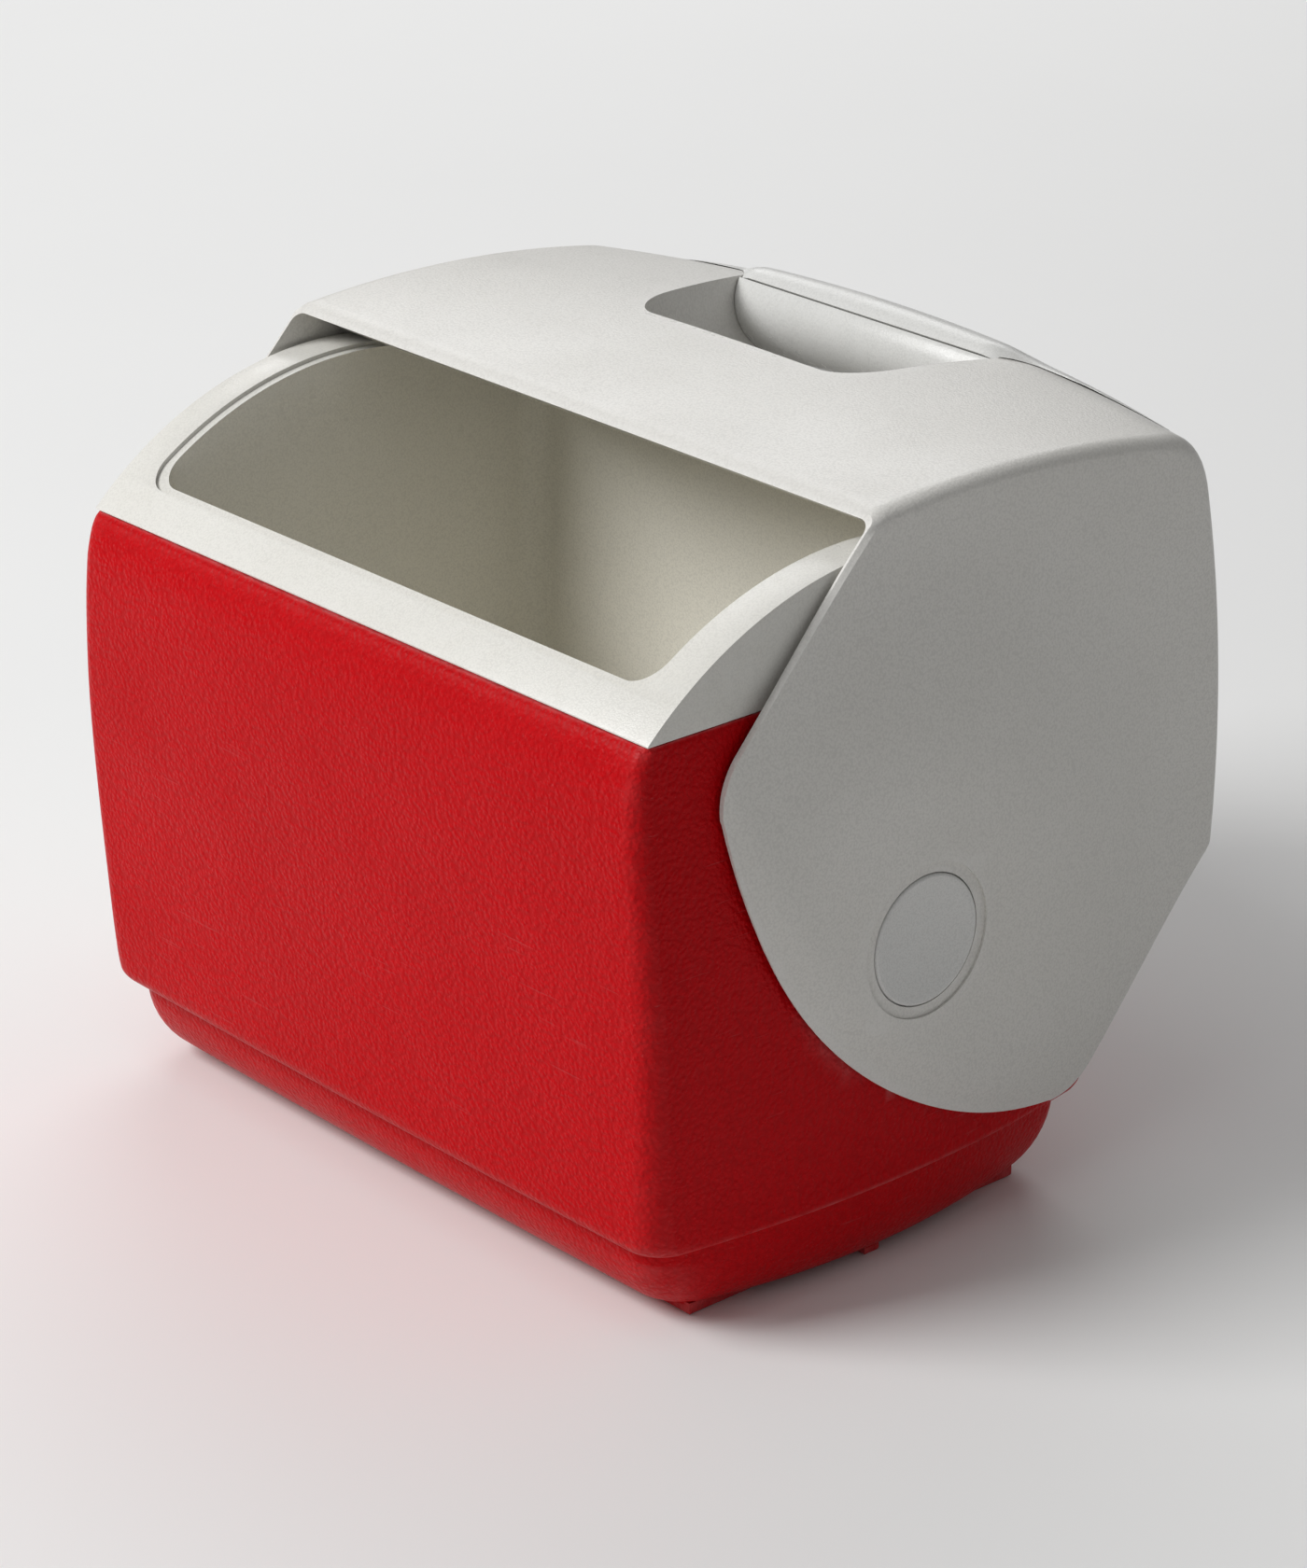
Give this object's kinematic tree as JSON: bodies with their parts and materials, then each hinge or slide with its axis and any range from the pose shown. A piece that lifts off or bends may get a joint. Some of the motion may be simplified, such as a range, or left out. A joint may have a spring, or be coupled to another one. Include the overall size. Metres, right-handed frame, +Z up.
{
  "type": "swing-lid personal cooler",
  "caption": "Small hand-carried cooler: bowed box body with a white food liner, and a tent-shaped lid with a ridge grip that swings on side pivots, released by a side push button.",
  "frame": {"origin": "centre of the underside, on the middle foot rib that stands on the ground", "axes": "+X to the side with the push button, -Y to the front, +Z up; the swing axis is parallel to X at z 0.098"},
  "size_m": [0.2886, 0.2459, 0.2473],
  "materials": {
    "shell_red": "fine pebbled red moulding",
    "foam_yellow": "foamed in place insulation",
    "liner_white": "smooth warm white moulding",
    "lid_white": "satin warm white moulding",
    "lid_liner_white": "smooth warm white sheet",
    "grip_white": "satin warm white moulding",
    "cap_white": "satin warm white moulding",
    "button_white": "smooth dished warm white disc",
    "pivot_cap_white": "smooth dished warm white disc",
    "hub_grey": "grey moulding",
    "washer_cream": "cream low friction plastic",
    "fastener_steel": "zinc plated steel",
    "spring_steel": "spring wire"
  },
  "bodies": {
    "cooler_body": {"outer_shell": "shell_red", "foam_core": "foam_yellow", "inner_liner": "liner_white", "hub_plate_right": "hub_grey", "hub_plate_left": "hub_grey", "hub_screw_right_1": "fastener_steel", "hub_screw_right_2": "fastener_steel", "hub_screw_right_3": "fastener_steel", "hub_screw_left_1": "fastener_steel", "hub_screw_left_2": "fastener_steel", "hub_screw_left_3": "fastener_steel", "bearing_cap_right": "hub_grey", "bearing_cap_left": "hub_grey"},
    "lid": {"lid_shell": "lid_white", "lid_liner": "lid_liner_white", "handle_grip": "grip_white", "handle_cap": "cap_white", "handle_screw_right": "fastener_steel", "handle_screw_left": "fastener_steel", "button_housing": "hub_grey", "pivot_carrier_left": "hub_grey", "pivot_pin_right": "fastener_steel", "pivot_pin_left": "fastener_steel", "thrust_washer_right": "washer_cream", "thrust_washer_left": "washer_cream", "pivot_retainer_right": "fastener_steel", "pivot_retainer_left": "fastener_steel", "pivot_cap_left": "pivot_cap_white", "button_spring": "spring_steel"},
    "button": {"push_button": "button_white", "latch_pin": "fastener_steel"}
  },
  "joints": [
    {"name": "lid_swing", "type": "hinge", "parent": "cooler_body", "child": "lid", "pos_m": [0, 0, 0.098], "axis": [1, 0, 0], "range_deg": [0, 88]},
    {"name": "button_press", "type": "slide", "parent": "lid", "child": "button", "axis": [-1, 0, 0], "range_m": [0, 0.0025], "stiffness_N_per_m": 400, "springref_m": -0.002, "deforming": ["button_spring"]}
  ]
}
